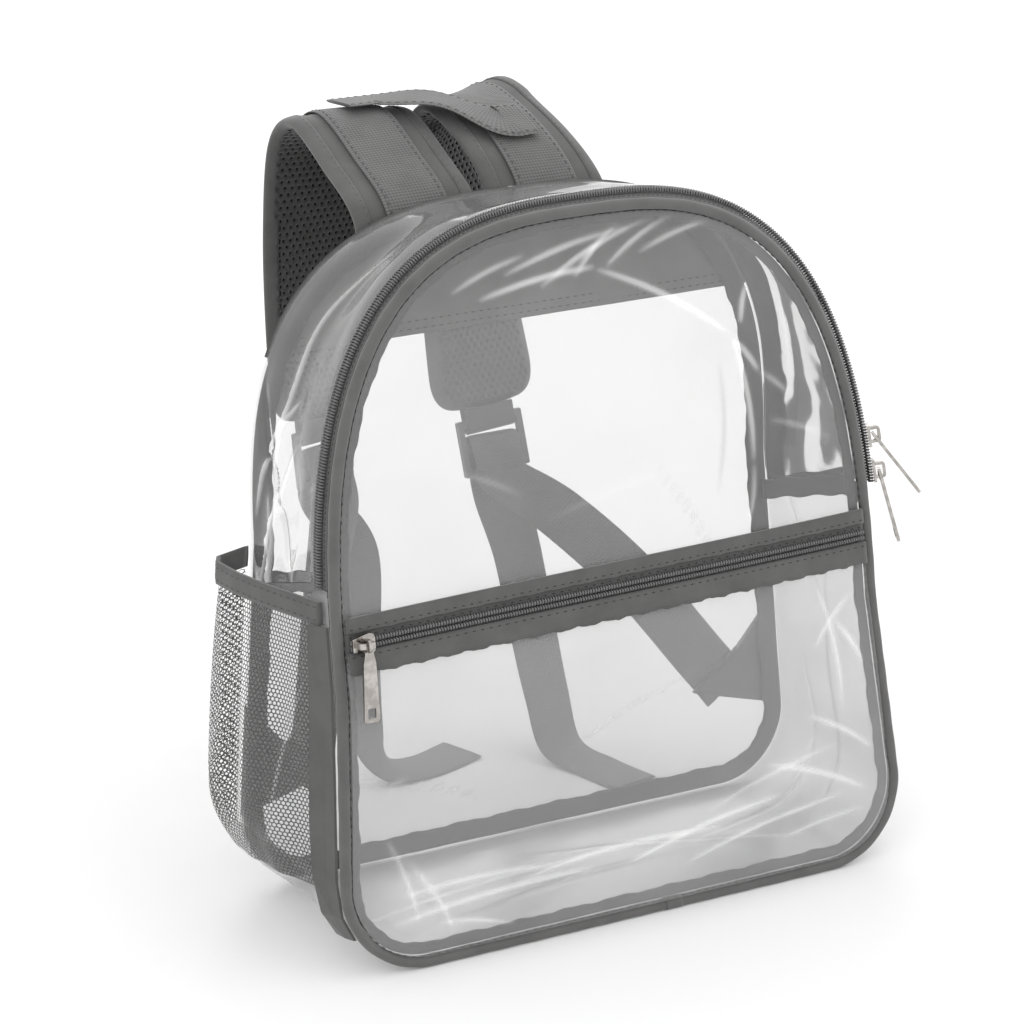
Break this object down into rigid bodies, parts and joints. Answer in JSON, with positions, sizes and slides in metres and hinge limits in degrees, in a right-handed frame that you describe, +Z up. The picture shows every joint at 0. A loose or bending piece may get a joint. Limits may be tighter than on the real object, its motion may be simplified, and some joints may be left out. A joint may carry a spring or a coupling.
{
  "type": "clear backpack",
  "caption": "Clear vinyl backpack with grey bound seams, arched zip, zipped front pocket, net side pocket, padded shoulder straps and a haul handle.",
  "frame": {"origin": "middle of the flat underside, on the ground", "axes": "+X to the right of someone facing the front, the front faces -Y, +Z up"},
  "size_m": [0.3193, 0.2336, 0.3222],
  "materials": {
    "clear_vinyl": "clear, glossy and slightly wrinkled",
    "grey_cloth": "grey woven polyester",
    "grey_webbing": "grey woven webbing",
    "dark_mesh": "dark open mesh",
    "zip_coil": "nylon coil",
    "nickel": "bright nickel plate",
    "grey_plastic": "moulded"
  },
  "bodies": {
    "bag": {"front_panel": "clear_vinyl", "front_piping": "grey_cloth", "front_binding": "grey_cloth", "back_panel": "clear_vinyl", "back_yoke": "grey_cloth", "back_binding": "grey_cloth", "top_gusset": "clear_vinyl", "lower_gusset": "clear_vinyl", "side_binding_right": "grey_cloth", "side_binding_left": "grey_cloth", "main_zip_tape": "grey_cloth", "main_zip_coil": "zip_coil", "pocket_zip_tape": "grey_cloth", "pocket_top_binding": "grey_cloth", "pocket_lower_binding": "grey_cloth", "pocket_zip_coil": "zip_coil", "front_pocket_panel": "clear_vinyl", "main_slider_upper": "nickel", "main_slider_lower": "nickel", "pocket_slider": "nickel", "bottle_pocket_net": "dark_mesh", "bottle_pocket_rim": "grey_cloth", "bottle_pocket_edging": "grey_cloth", "strap_pad_left": "grey_cloth", "strap_pad_right": "grey_cloth", "strap_lining_left": "dark_mesh", "strap_lining_right": "dark_mesh", "strap_webbing_left": "grey_webbing", "strap_webbing_right": "grey_webbing", "anchor_tab_left": "grey_cloth", "anchor_tab_right": "grey_cloth", "strap_loop_left": "grey_webbing", "strap_loop_right": "grey_webbing", "strap_adjuster_left": "grey_plastic", "strap_adjuster_right": "grey_plastic", "lower_webbing_left": "grey_webbing", "lower_webbing_right": "grey_webbing", "haul_handle": "grey_webbing"},
    "upper_puller": {"main_puller_upper": "nickel"},
    "lower_puller": {"main_puller_lower": "nickel"},
    "front_pocket_puller": {"pocket_puller": "nickel"}
  },
  "joints": [
    {"name": "upper_puller_hinge", "type": "hinge", "parent": "bag", "child": "upper_puller", "pos_m": [0.13884, -0.01336, 0.18301], "axis": [-0.4309, -0.8974, 0.0949], "range_deg": [0, 80]},
    {"name": "lower_puller_hinge", "type": "hinge", "parent": "bag", "child": "lower_puller", "pos_m": [0.14038, -0.01597, 0.16723], "axis": [-0.4338, -0.8937, 0.1148], "range_deg": [0, 30]},
    {"name": "front_pocket_puller_hinge", "type": "hinge", "parent": "bag", "child": "front_pocket_puller", "pos_m": [-0.11847, -0.03814, 0.14131], "axis": [-1, 0, 0], "range_deg": [0, 110]}
  ]
}
